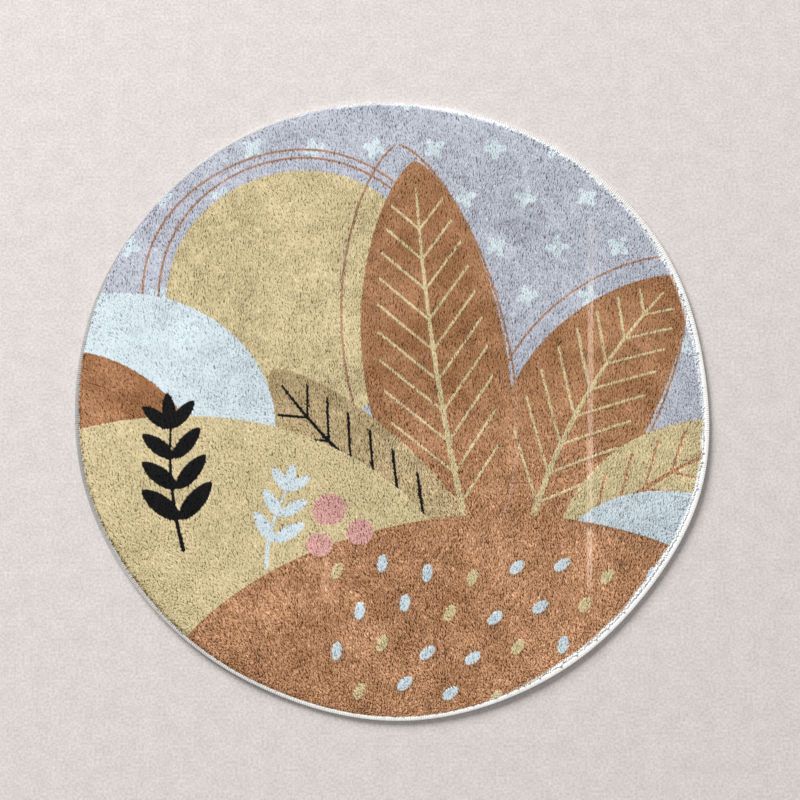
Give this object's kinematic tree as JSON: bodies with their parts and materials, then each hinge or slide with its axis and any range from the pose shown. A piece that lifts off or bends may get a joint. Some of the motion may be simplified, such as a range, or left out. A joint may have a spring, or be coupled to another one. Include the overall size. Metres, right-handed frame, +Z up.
{
  "type": "round plush rug",
  "caption": "Round flat rug of short printed plush pile with an overlocked edge, for the floor of a child's room.",
  "frame": {"origin": "middle of the underside, at floor level", "axes": "+Z up through the pile, +Y towards the top of the printed picture, +X towards its right"},
  "size_m": [1.0026, 0.9996, 0.0132],
  "materials": {
    "printed_plush": "short cut pile with a soft nap, printed in caramel, sand, lilac grey and white",
    "seam_thread": "off-white overlock thread, matt"
  },
  "bodies": {
    "root": {"plush_mat": "printed_plush", "overlock_seam": "seam_thread"}
  },
  "joints": []
}
